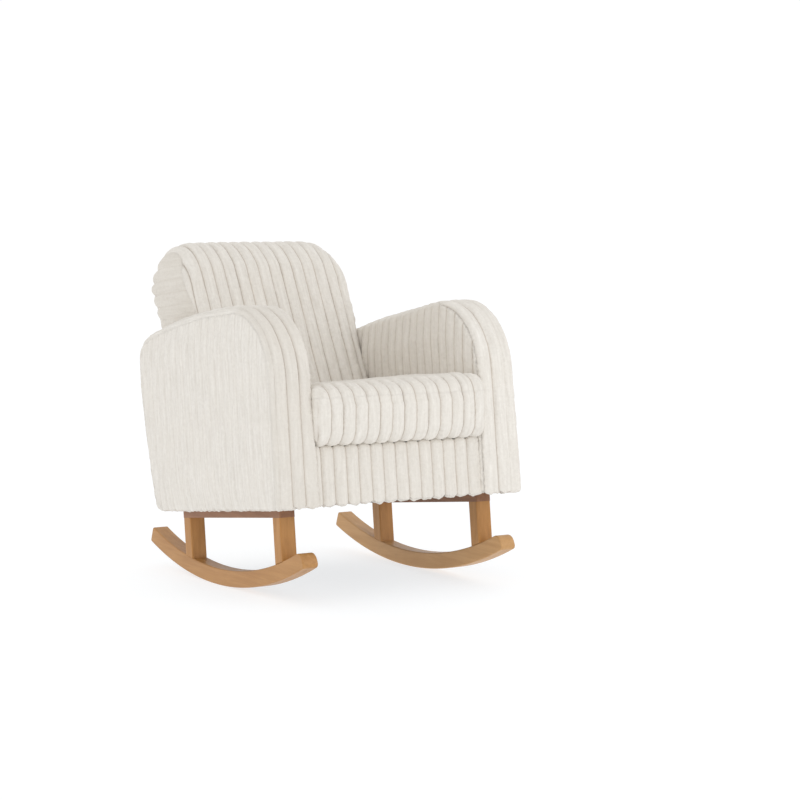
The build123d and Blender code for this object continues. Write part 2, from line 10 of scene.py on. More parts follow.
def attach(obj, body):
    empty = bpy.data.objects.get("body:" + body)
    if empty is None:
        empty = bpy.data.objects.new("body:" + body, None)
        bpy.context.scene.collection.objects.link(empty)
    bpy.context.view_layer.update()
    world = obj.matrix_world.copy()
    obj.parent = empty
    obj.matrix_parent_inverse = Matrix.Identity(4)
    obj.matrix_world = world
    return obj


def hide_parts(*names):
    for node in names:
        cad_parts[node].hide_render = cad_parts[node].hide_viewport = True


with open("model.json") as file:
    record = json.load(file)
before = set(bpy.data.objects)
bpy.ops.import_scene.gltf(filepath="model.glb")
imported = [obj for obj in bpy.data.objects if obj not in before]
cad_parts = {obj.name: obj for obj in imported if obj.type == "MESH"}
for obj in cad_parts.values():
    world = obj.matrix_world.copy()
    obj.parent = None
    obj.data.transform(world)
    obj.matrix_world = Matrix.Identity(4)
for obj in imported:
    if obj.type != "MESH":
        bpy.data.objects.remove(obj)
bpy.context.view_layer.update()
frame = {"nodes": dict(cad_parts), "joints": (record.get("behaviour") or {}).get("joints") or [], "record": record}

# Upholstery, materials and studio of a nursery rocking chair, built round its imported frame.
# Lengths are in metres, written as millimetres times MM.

MM = 0.001

# ------------------------------------------------------------------ the plush
RIB = 32 * MM               # pitch of its ribs
RIB_HEIGHT = 8.0 * MM       # from the cleft to the crest
CREST_PROUD = 1.5 * MM      # crests stand this far outside the CAD surface
DRIFT_LUMP = 110 * MM       # clefts wander in bends about this long
TUFT = 9 * MM               # size of the pile's tufts
LUMP = 28 * MM              # size of the stuffing's lumps
HEM_TUFT = 12 * MM          # size of the tufts that hang from the hem
HEM_DROP = 9 * MM           # the most that they hang down

VOXEL = RIB / 6
OUTLINE_STEP = 4 * MM       # between the points of a side outline
RIM_STEPS = 6               # steps round a quarter circle
CLOTH_FRAMES = 20

# ------------------------------------------------------------------ frames
# The chair leans back on its runners. In "level" coordinates it stands upright: its posts stand, its
# seat cushion lifts out and the ribs of its plush run up along level Z.
_, slide_y, slide_z = frame["joints"][0]["axis"]
LEAN = math.atan2(slide_y, slide_z)
LEVEL_TO_ROW = Matrix.Rotation(-LEAN, 4, "X")
ROW_TO_LEVEL = LEVEL_TO_ROW.inverted()


def level_points(node):
    """Vertices of a CAD node in level coordinates, as an array."""
    flat = np.array([tuple(v.co) for v in frame["nodes"][node].data.vertices])
    matrix = np.array(ROW_TO_LEVEL)
    return flat @ matrix[:3, :3].T + matrix[:3, 3]


def level_box(node):
    """Lowest and highest corners of a CAD node in level coordinates."""
    points = level_points(node)
    return points.min(0), points.max(0)


def convex_outline(points):
    """Convex outline of 2-D points, anticlockwise."""
    unique = sorted(set((round(float(a), 5), round(float(b), 5)) for a, b in points))

    def cross(o, a, b):
        return (a[0] - o[0]) * (b[1] - o[1]) - (a[1] - o[1]) * (b[0] - o[0])

    def half(sequence):
        chain = []
        for p in sequence:
            while len(chain) > 1 and cross(chain[-2], chain[-1], p) <= 1e-12:
                chain.pop()
            chain.append(p)
        return chain[:-1]

    return np.array(half(unique) + half(unique[::-1]))


def side_outline(node):
    """Side view, in level Y and Z, of a CAD node whose side view is convex, evenly sampled."""
    corners = convex_outline(level_points(node)[:, 1:])
    points = []
    for a, b in zip(corners, np.roll(corners, -1, 0)):
        count = max(1, int(math.ceil(np.linalg.norm(b - a) / OUTLINE_STEP)))
        points += [a + (b - a) * i / count for i in range(count)]
    return np.array(points)


def eased(outline, reach, where):
    """Round the outline's corners off where where(y, z) is true."""
    steps = int(reach / OUTLINE_STEP)
    smooth = sum(np.roll(outline, k, 0) for k in range(-steps, steps + 1)) / (2 * steps + 1)
    return np.where(where(*outline.T)[:, None], smooth, outline)


def inward_normals(outline):
    along = np.roll(outline, -1, 0) - np.roll(outline, 1, 0)
    along /= np.linalg.norm(along, axis=1)[:, None]
    return np.stack([-along[:, 1], along[:, 0]], 1)


def nearest_normals(outline, along):
    """Inward normals of a closed outline at distances along it."""
    lengths = np.linalg.norm(np.roll(outline, -1, 0) - outline, axis=1)
    starts = np.concatenate([[0], np.cumsum(lengths)[:-1]])
    index = np.searchsorted(starts, along, side="right") - 1
    return inward_normals(outline)[index]


def grown(outline, along_y, along_z):
    """The outline moved outwards by these distances."""
    return outline - inward_normals(outline) * np.array([along_y, along_z])


def edge_distance(points, outline):
    """Distance of 2-D points from a closed outline, and how far along it the nearest point is."""
    ends = np.roll(outline, -1, 0)
    spans = ends - outline
    lengths = np.linalg.norm(spans, axis=1)
    starts = np.concatenate([[0], np.cumsum(lengths)[:-1]])
    best = np.full(len(points), 1e9)
    along = np.zeros(len(points))
    for start, span, length, base in zip(outline, spans, lengths, starts):
        t = np.clip((points - start) @ span / length**2, 0, 1)
        gap = np.linalg.norm(points - start - t[:, None] * span, axis=1)
        closer = gap < best
        best[closer] = gap[closer]
        along[closer] = base + t[closer] * length
    return best, along


# ------------------------------------------------------------------ meshes
def link(obj):
    bpy.context.scene.collection.objects.link(obj)
    return obj


def mesh_object(name, vertices, faces):
    mesh = bpy.data.meshes.new(name)
    mesh.from_pydata([tuple(v) for v in vertices], [], [tuple(f) for f in faces])
    mesh.validate()
    return link(bpy.data.objects.new(name, mesh))


def read_vectors(collection, key):
    flat = np.empty(len(collection) * 3, np.float32)
    collection.foreach_get(key, flat)
    return flat.reshape(-1, 3).astype(float)


def coordinates(mesh):
    return read_vectors(mesh.vertices, "co")


def set_coordinates(mesh, points):
    mesh.vertices.foreach_set("co", np.asarray(points, np.float32).ravel())
    mesh.update()


def store(mesh, name, kind, values):
    attribute = mesh.attributes.new(name, kind, "POINT")
    key = "vector" if kind == "FLOAT_VECTOR" else "value"
    attribute.data.foreach_set(key, np.asarray(values, np.float32).ravel())


def smooth_shading(mesh):
    mesh.polygons.foreach_set("use_smooth", np.ones(len(mesh.polygons), bool))


def baked(obj):
    """Apply every modifier of obj."""
    graph = bpy.context.evaluated_depsgraph_get()
    graph.update()
    mesh = bpy.data.meshes.new_from_object(obj.evaluated_get(graph))
    obj.modifiers.clear()
    old = obj.data
    obj.data = mesh
    bpy.data.meshes.remove(old)


def remeshed(obj, voxel):
    modifier = obj.modifiers.new("remesh", "REMESH")
    modifier.mode = "VOXEL"
    modifier.voxel_size = voxel
    modifier.adaptivity = 0
    baked(obj)


def subdivided(obj):
    modifier = obj.modifiers.new("subdivision", "SUBSURF")
    modifier.levels = modifier.render_levels = 1
    baked(obj)


def rounded_form(name, outline, x0, x1, radius):
    """Closed convex form between x0 and x1 with that side outline; radius(y, z) rounds its rims."""
    normals = inward_normals(outline)
    radii = np.array([radius(y, z) for y, z in outline])
    made = bmesh.new()
    for step in range(RIM_STEPS + 1):
        turn = math.pi / 2 - math.radians(90 / RIM_STEPS * step)
        ring = outline + normals * (radii * (1 - math.cos(turn)))[:, None]
        depth = radii * (1 - math.sin(turn))
        for (y, z), d in zip(ring, depth):
            made.verts.new((x0 + d, y, z))
            made.verts.new((x1 - d, y, z))
    hull = bmesh.ops.convex_hull(made, input=made.verts)
    unused = hull["geom_interior"] + hull["geom_unused"]
    spare = [v for v in unused if isinstance(v, bmesh.types.BMVert)]
    bmesh.ops.delete(made, geom=list(set(spare)), context="VERTS")
    bmesh.ops.recalc_face_normals(made, faces=made.faces)
    mesh = bpy.data.meshes.new(name)
    made.to_mesh(mesh)
    made.free()
    return link(bpy.data.objects.new(name, mesh))


def inflated(obj, pressure, cap, hold):
    """How far a cloth simulation moves each point of a closed form that is blown up like a stuffed cover.

    hold(points) is true where the cover is nailed or sewn down, and cap is how far a point may move."""
    before = coordinates(obj.data)
    pins = obj.vertex_groups.new(name="pins")
    held = np.flatnonzero(hold(before))
    pins.add([int(index) for index in held], 1.0, "REPLACE")
    cloth = obj.modifiers.new("cloth", "CLOTH")
    settings = cloth.settings
    settings.quality = 6
    settings.mass = 0.3
    settings.tension_stiffness = 12
    settings.compression_stiffness = 12
    settings.shear_stiffness = 6
    settings.bending_stiffness = 1.5
    settings.use_pressure = True
    settings.uniform_pressure_force = pressure
    settings.vertex_group_mass = "pins"
    settings.effector_weights.gravity = 0
    cloth.collision_settings.use_collision = False
    cloth.point_cache.frame_start = 1
    cloth.point_cache.frame_end = CLOTH_FRAMES
    scene = bpy.context.scene
    for number in range(1, CLOTH_FRAMES + 1):
        scene.frame_set(number)
    shown = obj.evaluated_get(bpy.context.evaluated_depsgraph_get())
    moved = coordinates(shown.data) - before
    obj.modifiers.clear()
    obj.vertex_groups.clear()
    scene.frame_set(1)
    length = np.linalg.norm(moved, axis=1)
    scale = np.minimum(1, cap / np.maximum(length, 1e-9))
    return moved * scale[:, None]


def relaxed(mesh, points, rounds):
    """Laplacian smoothing of points over the mesh's edges."""
    edges = np.empty(len(mesh.edges) * 2, np.int64)
    mesh.edges.foreach_get("vertices", edges)
    a, b = edges.reshape(-1, 2).T
    count = np.bincount(a, minlength=len(points)) + np.bincount(b, minlength=len(points))
    for _ in range(rounds):
        total = np.zeros_like(points)
        for axis in range(points.shape[1]):
            total[:, axis] = np.bincount(a, points[b, axis], len(points))
            total[:, axis] += np.bincount(b, points[a, axis], len(points))
        points = 0.5 * points + 0.5 * total / np.maximum(count, 1)[:, None]
    return points


def stuffed(obj, pressure, cap, hold, reshape=None):
    """Blow a closed form up, reshape it, smooth it and give back its points.

    reshape(points, moved) changes how far each of the points is moved."""
    remeshed(obj, VOXEL)
    base = coordinates(obj.data)
    moved = inflated(obj, pressure, cap, hold)
    if reshape:
        reshape(base, moved)
    set_coordinates(obj.data, relaxed(obj.data, base + relaxed(obj.data, moved, 3), 2))
    subdivided(obj)
    return coordinates(obj.data)


# ------------------------------------------------------------------ ribs
def ramp(x, low, high):
    """Rises smoothly from 0 at low to 1 at high."""
    t = np.clip((x - low) / (high - low), 0, 1)
    return t * t * (3 - 2 * t)


def ramp_at(x, low, high):
    """The ramp at one place."""
    return float(ramp(np.array(x), low, high))


def noise_at(points, size, seed, octaves=2):
    """Smooth noise of about -1 to 1 whose lumps are size metres across."""
    shift = Vector((seed * 7.31, seed * 3.17, seed * 5.73))
    return np.array(
        [noise.fractal(Vector(p) / size + shift, 1.0, 2.0, octaves) for p in points]
    )


def drift(points, seed, amount):
    """How far the clefts wander, in ribs."""
    return noise_at(points, DRIFT_LUMP, seed, octaves=1) * amount


def roll(count, flatness, steepness=0.6):
    """Height, 0 to 1, of round ribs; count rises by one a rib, with clefts at whole numbers."""
    t = count - np.floor(count)
    return (1 - np.abs(2 * t - 1) ** flatness) ** steepness


def line_at(distance, width):
    """1 on a line and nothing more than about two widths from it."""
    return np.exp(-((distance / width) ** 2))


def hang_hem(obj, points, bottom, where):
    """Let the plush hang in tufts a little below the frame along its bottom edge."""
    near = 1 - ramp(points[:, 2], bottom + 4 * MM, bottom + 24 * MM)
    tufts = 4.0 * MM + 3.5 * MM * noise_at(points, HEM_TUFT, seed=9)
    points[:, 2] -= near * np.clip(tufts, 0, HEM_DROP) * where
    set_coordinates(obj.data, points)


def plush(obj, height, count, along, painted_cleft_shade_strength, painted_seam_shade, pile_painted_shade):
    """Raise the ribs and leave the shader what it needs.

    height is 0 at clefts and 1 at crests; count and along are the rib count and the distance along a rib.
    The last three set painted shade: how strongly the clefts are darkened, how much a seam is darkened, and how
    much the whole pile is darkened."""
    mesh = obj.data
    points = coordinates(mesh)
    normals = read_vectors(mesh.vertex_normals, "vector")
    tufts = noise_at(points, TUFT, seed=1) * 0.8 * MM + noise_at(points, LUMP, seed=2) * 1.0 * MM
    lift = (height - 1) * RIB_HEIGHT + CREST_PROUD + tufts * (0.3 + 0.7 * height)
    set_coordinates(mesh, points + normals * lift[:, None])
    # Its third part is the painted shade on the pile.
    store(mesh, "pile", "FLOAT_VECTOR", np.stack([count, along, pile_painted_shade + 0 * along], 1))
    store(mesh, "painted_cleft_shade_strength", "FLOAT", painted_cleft_shade_strength + 0 * along)
    store(mesh, "painted_seam_shade", "FLOAT", painted_seam_shade + 0 * along)
    smooth_shading(mesh)


def place(obj, body, node_names, material):
    """Lean the finished piece back with the chair and hand it to the frame."""
    obj.data.transform(LEVEL_TO_ROW)
    obj.data.materials.clear()
    obj.data.materials.append(material)
    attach(obj, body)
    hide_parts(*node_names)


# ------------------------------------------------------------------ materials
PLUSH_LIGHT = (0.93, 0.90, 0.85)
PLUSH_SHADE = (0.65, 0.61, 0.555)
PLUSH_WARM = (0.81, 0.765, 0.695)
# Painted shade: a darker pile colour that stands in for shade on the inner arms, the gusset and the fronts.
PLUSH_PAINTED_SHADE = (0.66, 0.61, 0.54)
# Painted shade: the colour painted into the clefts and seams where shade falls.
PLUSH_PAINTED_CLEFT_SHADE = (0.45, 0.37, 0.29)


def new_material(name):
    material = bpy.data.materials.new(name)
    material.use_nodes = True
    tree = material.node_tree
    return material, tree, tree.nodes["Principled BSDF"]


def give(tree, socket, value):
    """Link a node's output to a socket, or set the socket's own value."""
    if isinstance(value, bpy.types.NodeSocket):
        tree.links.new(value, socket)
    else:
        socket.default_value = value


def add(tree, kind, inputs=None, **settings):
    node = tree.nodes.new(kind)
    for key, value in settings.items():
        setattr(node, key, value)
    for key, value in (inputs or {}).items():
        give(tree, node.inputs[key], value)
    return node


def finish_shader(tree, shader, **inputs):
    """Set the shader's sockets; an underscore in a name stands for a space."""
    for key, value in inputs.items():
        give(tree, shader.inputs[key.replace("_", " ")], value)


def object_place(tree):
    return add(tree, "ShaderNodeTexCoord").outputs["Object"]


def attribute(tree, name, output):
    return add(tree, "ShaderNodeAttribute", attribute_name=name).outputs[output]


def maths(tree, operation, *values):
    return add(tree, "ShaderNodeMath", dict(enumerate(values)), operation=operation).outputs[0]


def stretched(tree, vector, scale):
    return add(tree, "ShaderNodeMapping", {"Vector": vector, "Scale": scale}).outputs["Vector"]


def noise_texture(tree, vector, scale=1.0, detail=2.0, roughness=0.5, distortion=0.0):
    inputs = {
        "Vector": vector,
        "Scale": scale,
        "Detail": detail,
        "Roughness": roughness,
        "Distortion": distortion,
    }
    return add(tree, "ShaderNodeTexNoise", inputs).outputs["Fac"]


def cells_texture(tree, vector, scale):
    return add(tree, "ShaderNodeTexVoronoi", {"Vector": vector, "Scale": scale}).outputs["Distance"]


def bump(tree, strength, distance, height):
    inputs = {"Strength": strength, "Distance": distance, "Height": height}
    return add(tree, "ShaderNodeBump", inputs).outputs["Normal"]


def colour_ramp(tree, factor, stops):
    """Colours or greys blended along factor; stops are (position, colour or grey)."""
    node = add(tree, "ShaderNodeValToRGB", {"Fac": factor})
    elements = node.color_ramp.elements
    while len(elements) < len(stops):
        elements.new(0.5)
    for element, (position, colour) in zip(elements, stops):
        element.position = position
        element.color = (*colour, 1) if isinstance(colour, tuple) else (colour, colour, colour, 1)
    return node.outputs["Color"]


def mixed(tree, factor, a, b, blend="MIX"):
    """Two colours mixed; a and b are node outputs or plain colours."""
    node = add(tree, "ShaderNodeMix", data_type="RGBA", blend_type=blend)
    for key, value in ((0, factor), (6, a), (7, b)):
        give(tree, node.inputs[key], (*value, 1) if isinstance(value, tuple) else value)
    return node.outputs[2]


def plush_material():
    """Long-pile plush: creamy, streaky along the ribs, with painted shade down in the clefts and seams and, where
    asked, over the pile.
    """
    material, tree, shader = new_material("ribbed_plush")
    pile = attribute(tree, "pile", "Vector")
    painted_cleft_shade_strength = attribute(tree, "painted_cleft_shade_strength", "Fac")
    painted_seam_shade = attribute(tree, "painted_seam_shade", "Fac")
    where = object_place(tree)
    streaks = noise_texture(tree, stretched(tree, pile, (14, 90, 1)), detail=3.0)
    strands = noise_texture(tree, stretched(tree, pile, (5, 14, 1)))
    clumps = noise_texture(tree, stretched(tree, where, (130, 130, 130)), detail=4.0, roughness=0.65)
    tone = noise_texture(tree, stretched(tree, where, (13, 13, 13)))
    count, _, pile_painted_shade = add(tree, "ShaderNodeSeparateXYZ", {"Vector": pile}).outputs
    waver = maths(tree, "MULTIPLY", maths(tree, "SUBTRACT", clumps, 0.5), 0.07)
    place_in_rib = maths(tree, "FRACT", maths(tree, "ADD", count, waver))
    off_middle = maths(tree, "ABSOLUTE", maths(tree, "SUBTRACT", place_in_rib, 0.5))
    # Painted shade: clefts and seams are darkened towards the cleft colour.
    cleft = maths(tree, "POWER", maths(tree, "MULTIPLY", off_middle, 2.0), 16.0)
    painted_cleft_shade = maths(tree, "MULTIPLY", cleft, painted_cleft_shade_strength)
    dark = maths(tree, "MINIMUM", maths(tree, "ADD", painted_cleft_shade, painted_seam_shade), 1.0)
    lit_clumps = maths(tree, "MULTIPLY", clumps, 0.8)
    lit_strands = maths(tree, "MULTIPLY", strands, 1.1)
    mottling = maths(tree, "SUBTRACT", maths(tree, "ADD", lit_clumps, lit_strands), 0.45)
    base = mixed(tree, mottling, PLUSH_SHADE, PLUSH_LIGHT)
    warm = mixed(tree, maths(tree, "MULTIPLY", tone, 0.6), base, PLUSH_WARM)
    # Painted shade: the pile is darkened where asked.
    with_pile_painted_shade = mixed(tree, pile_painted_shade, warm, PLUSH_PAINTED_SHADE)
    fur = maths(tree, "ADD", maths(tree, "MULTIPLY", streaks, 0.7), clumps)
    finish_shader(
        tree,
        shader,
        Base_Color=mixed(tree, maths(tree, "MULTIPLY", dark, 0.8), with_pile_painted_shade, PLUSH_PAINTED_CLEFT_SHADE),
        Roughness=1.0,
        Specular_IOR_Level=0.1,
        Sheen_Weight=0.25,
        Sheen_Roughness=0.5,
        Sheen_Tint=(1.0, 0.97, 0.93, 1),
        Normal=bump(tree, strength=0.75, distance=2 * MM, height=fur),
    )
    return material


def wood_material(name, pale, deep, grain_axis, gloss):
    """Lacquered wood with its grain along an axis of the chair; gloss is its roughness."""
    material, tree, shader = new_material(name)
    where = object_place(tree)
    scale = [95.0, 95.0, 95.0]
    scale["XYZ".index(grain_axis)] = 7.0
    grain = stretched(tree, where, scale)
    clouds = noise_texture(tree, stretched(tree, where, (9, 9, 9)))
    fibre = noise_texture(tree, grain, detail=5.0, roughness=0.62, distortion=0.4)
    flecks = cells_texture(tree, stretched(tree, grain, (2.6, 2.6, 2.6)), 1.0)
    between = tuple((p + d) / 2 for p, d in zip(pale, deep))
    grained = colour_ramp(tree, fibre, [(0.25, deep), (0.55, between), (0.78, pale)])
    toned = mixed(tree, maths(tree, "MULTIPLY", clouds, 0.6), grained, pale)
    speck = colour_ramp(tree, flecks, [(0.0, (0.80, 0.76, 0.72)), (0.22, 1.0)])
    flecked = mixed(tree, 1.0, toned, speck, "MULTIPLY")
    finish_shader(
        tree,
        shader,
        Base_Color=mixed(tree, 0.45, toned, flecked),
        Roughness=colour_ramp(tree, fibre, [(0.2, gloss + 0.12), (0.8, gloss)]),
        Specular_IOR_Level=0.38,
        Coat_Weight=0.1,
        Coat_Roughness=0.25,
        Normal=bump(tree, strength=0.12, distance=0.5 * MM, height=fibre),
    )
    return material


def weave_material(name, light, dark, threads, roughness):
    """Plain woven or felted cloth in the object's own coordinates."""
    material, tree, shader = new_material(name)
    where = object_place(tree)
    waves = {"Vector": where, "Scale": threads}
    warp = add(tree, "ShaderNodeTexWave", waves, bands_direction="X").outputs["Fac"]
    weft = add(tree, "ShaderNodeTexWave", waves, bands_direction="Y").outputs["Fac"]
    fuzz = noise_texture(tree, where, scale=260.0, detail=3.0)
    height = maths(tree, "ADD", maths(tree, "MULTIPLY", warp, weft), fuzz)
    finish_shader(
        tree,
        shader,
        Base_Color=colour_ramp(tree, height, [(0.3, dark), (1.0, light)]),
        Roughness=roughness,
        Normal=bump(tree, strength=0.4, distance=0.6 * MM, height=height),
    )
    return material


def metal_material(name, colour, roughness):
    """Bare or plated steel, dulled in patches."""
    material, tree, shader = new_material(name)
    wear = noise_texture(tree, object_place(tree), scale=180.0, detail=4.0)
    dark = tuple(c * 0.7 for c in colour)
    finish_shader(
        tree,
        shader,
        Base_Color=colour_ramp(tree, wear, [(0.3, dark), (0.7, colour)]),
        Metallic=1.0,
        Roughness=colour_ramp(tree, wear, [(0.3, roughness + 0.15), (0.7, roughness)]),
    )
    return material


def foam_material():
    material, tree, shader = new_material("open_cell_foam")
    cells = cells_texture(tree, object_place(tree), 420.0)
    finish_shader(
        tree,
        shader,
        Base_Color=colour_ramp(tree, cells, [(0.0, (0.70, 0.63, 0.40)), (0.6, (0.88, 0.83, 0.62))]),
        Roughness=0.95,
        Normal=bump(tree, strength=0.5, distance=1 * MM, height=cells),
    )
    return material


PLUSH = plush_material()
LINING = weave_material("black_lining", (0.05, 0.05, 0.055), (0.012, 0.012, 0.014), 900, 0.85)
MATERIAL_OF_SLOT = {
    "oiled_beech": wood_material("beech_post", (0.54, 0.265, 0.078), (0.31, 0.13, 0.030), "Z", 0.38),
    "frame_timber": wood_material("sawn_timber", (0.66, 0.50, 0.32), (0.50, 0.35, 0.20), "Y", 0.6),
    "plywood": wood_material("plywood", (0.68, 0.52, 0.33), (0.52, 0.37, 0.21), "Z", 0.55),
    "foam": foam_material(),
    "lining_cloth": LINING,
    "elastic_webbing": weave_material("webbing", (0.10, 0.09, 0.09), (0.02, 0.02, 0.02), 500, 0.7),
    "spring_steel": metal_material("spring_steel", (0.20, 0.20, 0.21), 0.35),
    "zinc_steel": metal_material("zinc_plate", (0.62, 0.63, 0.66), 0.3),
    "plush": PLUSH,
}
MATERIAL_OF_SLOT["dowel_beech"] = MATERIAL_OF_SLOT["oiled_beech"]
# Painted shade: a darker copy of the beech for the base rails, which stand in shade under the chair.
PAINTED_SHADE_RAIL_WOOD = wood_material("beech_rail_painted_shade", (0.37, 0.170, 0.080), (0.16, 0.070, 0.034), "Y", 0.42)
MATERIAL_OF_NODE = {
    "runner_left": wood_material("beech_runner", (0.53, 0.275, 0.092), (0.33, 0.145, 0.040), "Y", 0.38),
    # Painted light: a paler copy of the runner's beech for the right runner, lighter where light falls on it.
    "runner_right": wood_material("beech_runner_painted_light", (0.62, 0.36, 0.150), (0.42, 0.21, 0.072), "Y", 0.38),
    "base_rail_left": PAINTED_SHADE_RAIL_WOOD,
    "base_rail_right": PAINTED_SHADE_RAIL_WOOD,
}
for part in frame["record"]["subparts"]:
    cad = frame["nodes"][part["node"]]
    cad.data.materials.clear()
    cad.data.materials.append(MATERIAL_OF_NODE.get(part["node"], MATERIAL_OF_SLOT[part["material_slot"]]))


# ------------------------------------------------------------------ arms
# How far the first cleft on the front of each arm lies from the chair's middle.
ARM_CLEFT = {"left": 251.5 * MM, "right": 258 * MM}
# From here outwards the clefts on the front of each arm are faint.
ARM_FADE = {"left": 292 * MM, "right": 270 * MM}
# How much painted shade darkens the pile on the front of each arm.
ARM_PAINTED_SHADE = {"left": 0.3, "right": 0.0}
ARM_OUTER_SEAM = 14 * MM    # the outer panel starts this far round the arm's outer edge
ARM_INNER_SEAM = 5 * MM     # and the inner panel this far round its inner edge
ARM_FRONT = 120 * MM        # the arm's rounded front reaches this far back
ARM_WRAP = 45 * MM          # how far the inner panel runs over the arm's top behind the front
ARM_TOP_FALL = 16 * MM      # how far the arm's top falls towards the seat
PUCKER = 17 * MM            # from one pucker of the inner seam to the next


def arm(side):
    node = "arm_cover_" + side
    low, high = level_box(node)
    inner, outer = sorted((abs(low[0]), abs(high[0])))
    front, rear = low[1], high[1]
    bottom, top = low[2], high[2]
    outline = grown(side_outline(node), 2 * MM, 0)
    outline = eased(outline, 28 * MM, lambda y, z: (z < bottom + 45 * MM) & (y > 0))
    outline = eased(outline, 16 * MM, lambda y, z: (z > bottom + 200 * MM) & (y > rear - 60 * MM))
    # The band round the arm has no bottom, so clefts are counted from an outline carried on down.
    skirt = np.where(outline[:, 1:] < bottom + 1 * MM, outline - [0, 90 * MM], outline)

    def rim(y, z):
        return 6 * MM + 11 * MM * ramp_at(z, bottom, bottom + 40 * MM)

    def hold(points):
        depth, _ = edge_distance(points[:, 1:], outline)
        return (points[:, 2] < bottom + 8 * MM) | (depth < 5 * MM)

    obj = rounded_form("arm_plush_" + side, outline, inner, outer, rim)
    points = stuffed(obj, pressure=3.0, cap=6 * MM, hold=hold)
    depth, along = edge_distance(points[:, 1:], skirt)
    outside = points[:, 0] > (inner + outer) / 2
    at_front = 1 - ramp(points[:, 1], front + ARM_FRONT, front + ARM_FRONT + 50 * MM)

    # The band runs round the edge between the two panels, and its ribs run along it.
    unrolled = np.where(outside, points[:, 0] + depth, points[:, 0] - depth)
    edge = inner - ARM_INNER_SEAM
    inner_seam = edge + ARM_WRAP * ramp(points[:, 1], front + 130 * MM, front + 200 * MM)
    outer_seam = outer + ARM_OUTER_SEAM
    on_band = ramp(unrolled, inner_seam - 2 * MM, inner_seam + 2 * MM)
    on_band *= 1 - ramp(unrolled, outer_seam - 2 * MM, outer_seam + 2 * MM)

    # Inside the first cleft there is one rib of its own width.
    wandering = drift(points, seed=3, amount=0.035)
    first = ARM_CLEFT[side]
    rib_width = np.where(unrolled < first, first - edge, RIB)
    band_count = (unrolled - first) / rib_width + wandering
    panel_count = (points[:, 1] - front - 150 * MM) / RIB + wandering
    count = np.where(on_band > 0.5, band_count, panel_count)
    open_band = 1 - 0.55 * ramp(unrolled, ARM_FADE[side], ARM_FADE[side] + 20 * MM)
    open_panel = np.where(outside, 0.45, 0.95)
    openness = open_panel * (1 - on_band) + open_band * on_band
    panel_height = np.where(outside, roll(panel_count, 2.2), roll(panel_count, 1.7))
    height = roll(band_count, 2.2) * on_band + panel_height * (1 - on_band)
    height = 1 - (1 - height) * openness

    wander = noise_at(points, 30 * MM, seed=8) * 2.5 * MM
    inner_line = line_at(unrolled - inner_seam + wander, 4 * MM) * at_front
    outer_line = line_at(unrolled - outer_seam + wander, 3 * MM)
    puckers = np.sin(along / PUCKER * 2 * math.pi + 3 * wander / MM)
    height += 0.16 * puckers * line_at(unrolled - inner_seam, 14 * MM) * at_front
    height -= 0.15 * inner_line + 0.12 * outer_line

    slope = np.clip((inner + 85 * MM - points[:, 0]) / (75 * MM), 0, 1)
    slope *= ramp(points[:, 1], front + ARM_FRONT, front + 330 * MM)
    slope *= ramp(points[:, 2], top - 170 * MM, top - 30 * MM)
    points[:, 2] -= ARM_TOP_FALL * slope
    hang_hem(obj, points, bottom, outside | (depth < 12 * MM))

    along_rib = np.where(on_band > 0.5, along, points[:, 2])
    # Painted shade: the pile on the inner panels and on the arm's front is darkened, and so are the clefts and the
    # seams.
    pile_painted_shade = np.where(outside, 0.0, 0.25) * (1 - on_band) + ARM_PAINTED_SHADE[side] * on_band * at_front
    plush(obj, height, count, along_rib, openness**2, 0.02 * inner_line + 0.01 * outer_line, pile_painted_shade)
    if side == "left":
        obj.data.transform(Matrix.Scale(-1, 4, (1, 0, 0)))
        obj.data.flip_normals()
    place(obj, "chair", [node, "arm_padding_" + side], PLUSH)


# ------------------------------------------------------------------ back
BACK_RIB = 31.2 * MM
BACK_SWELL = 9 * MM         # how far the back swells sideways above the arms
BACK_DROOP = {"left": 2 * MM, "right": 5 * MM}    # how far its top corners hang


